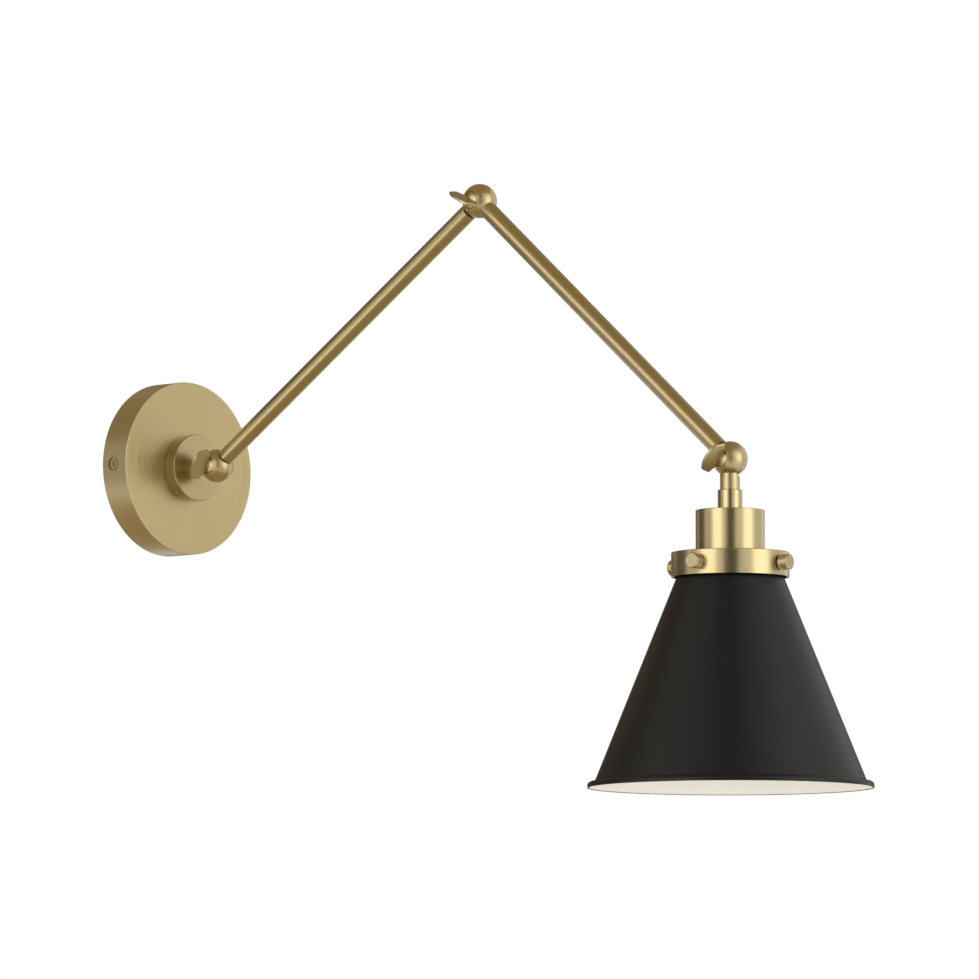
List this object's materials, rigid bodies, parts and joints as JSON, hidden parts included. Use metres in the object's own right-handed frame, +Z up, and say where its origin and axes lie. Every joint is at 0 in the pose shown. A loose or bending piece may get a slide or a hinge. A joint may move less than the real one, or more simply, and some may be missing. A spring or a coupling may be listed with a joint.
{
  "type": "articulating wall lamp",
  "caption": "Wall lamp on a round plate with a turning hub, straight arms on split-ball knuckles with thumb keys, and a tilting cone shade.",
  "frame": {"origin": "centre of the mounting bracket's screw pattern, on the wall plane at the backplate's centre", "axes": "+Z up, -Y out from the wall, +X to the right of someone facing the wall; the knuckles' hinge axes lie along X"},
  "size_m": [0.2014, 0.6773, 0.4489],
  "materials": {
    "antique_brass": "satin",
    "black_enamel": "satin black outside, cream inside",
    "zinc_steel": "zinc plated",
    "screw_metal": "satin",
    "green_steel": "green finish",
    "shell_brass": "bright",
    "nylon": "natural nylon",
    "fibre": "vulcanised fibre",
    "flex_jacket": "matt",
    "black_moulding": "moulded"
  },
  "bodies": {
    "wall_mount": {"backplate": "antique_brass", "mounting_bracket": "zinc_steel", "cover_screws": "screw_metal", "ground_screw": "green_steel"},
    "hub": {"hub_disc": "antique_brass", "slip_washer": "nylon", "hub_nipple": "zinc_steel", "tooth_washer": "zinc_steel", "hub_lock_nut": "zinc_steel", "base_knuckle_inner": "antique_brass"},
    "base_key": {"base_key": "antique_brass"},
    "lower_arm": {"base_knuckle_outer": "antique_brass", "base_friction_washer": "fibre", "lower_arm_tube": "antique_brass", "lower_arm_flex": "flex_jacket", "elbow_knuckle_outer": "antique_brass", "elbow_friction_washer": "fibre"},
    "elbow_key": {"elbow_key": "antique_brass"},
    "upper_arm": {"elbow_knuckle_inner": "antique_brass", "upper_arm_tube": "antique_brass", "upper_arm_flex": "flex_jacket", "shade_knuckle_outer": "antique_brass", "shade_friction_washer": "fibre"},
    "shade_head": {"shade_knuckle_inner": "antique_brass", "stem_collar": "antique_brass", "cup_nipple": "zinc_steel", "cup_lock_nut": "zinc_steel", "socket_cup": "antique_brass", "fitter_ring": "antique_brass", "lampholder": "black_moulding", "screw_shell": "shell_brass", "centre_contact": "shell_brass", "terminal_screws": "shell_brass", "lampholder_ring": "black_moulding", "shade": "black_enamel"},
    "shade_key": {"shade_key": "antique_brass"},
    "thumbscrew_1": {"thumbscrew_1": "antique_brass"},
    "thumbscrew_2": {"thumbscrew_2": "antique_brass"},
    "thumbscrew_3": {"thumbscrew_3": "antique_brass"},
    "thumbscrew_4": {"thumbscrew_4": "antique_brass"}
  },
  "joints": [
    {"name": "hub_swivel", "type": "hinge", "parent": "wall_mount", "child": "hub", "pos_m": [0, -0.02515, 0], "axis": [0, 1, 0], "range_deg": [-90, 90]},
    {"name": "base_tilt", "type": "hinge", "parent": "hub", "child": "lower_arm", "pos_m": [0, -0.05535, 0], "axis": [1, 0, 0], "range_deg": [-40, 40]},
    {"name": "elbow_fold", "type": "hinge", "parent": "lower_arm", "child": "upper_arm", "pos_m": [0, -0.33072, 0.17543], "axis": [1, 0, 0], "range_deg": [-75, 30]},
    {"name": "shade_tilt", "type": "hinge", "parent": "upper_arm", "child": "shade_head", "pos_m": [0, -0.57657, -0.02941], "axis": [1, 0, 0], "range_deg": [-60, 60]},
    {"name": "base_key_turn", "type": "hinge", "parent": "hub", "child": "base_key", "pos_m": [0, -0.05535, 0], "axis": [1, 0, 0], "range_deg": [0, 270]},
    {"name": "elbow_key_turn", "type": "hinge", "parent": "upper_arm", "child": "elbow_key", "pos_m": [0, -0.33072, 0.17543], "axis": [1, 0, 0], "range_deg": [0, 270]},
    {"name": "shade_key_turn", "type": "hinge", "parent": "shade_head", "child": "shade_key", "pos_m": [0, -0.57657, -0.02941], "axis": [1, 0, 0], "range_deg": [0, 270]},
    {"name": "thumbscrew_1_travel", "type": "slide", "parent": "shade_head", "child": "thumbscrew_1", "axis": [0.1668, -0.986, 0], "range_m": [0, 0.0032]},
    {"name": "thumbscrew_2_travel", "type": "slide", "parent": "shade_head", "child": "thumbscrew_2", "axis": [0.986, 0.1668, 0], "range_m": [0, 0.0032]},
    {"name": "thumbscrew_3_travel", "type": "slide", "parent": "shade_head", "child": "thumbscrew_3", "axis": [-0.1668, 0.986, 0], "range_m": [0, 0.0032]},
    {"name": "thumbscrew_4_travel", "type": "slide", "parent": "shade_head", "child": "thumbscrew_4", "axis": [-0.986, -0.1668, 0], "range_m": [0, 0.0032]}
  ]
}
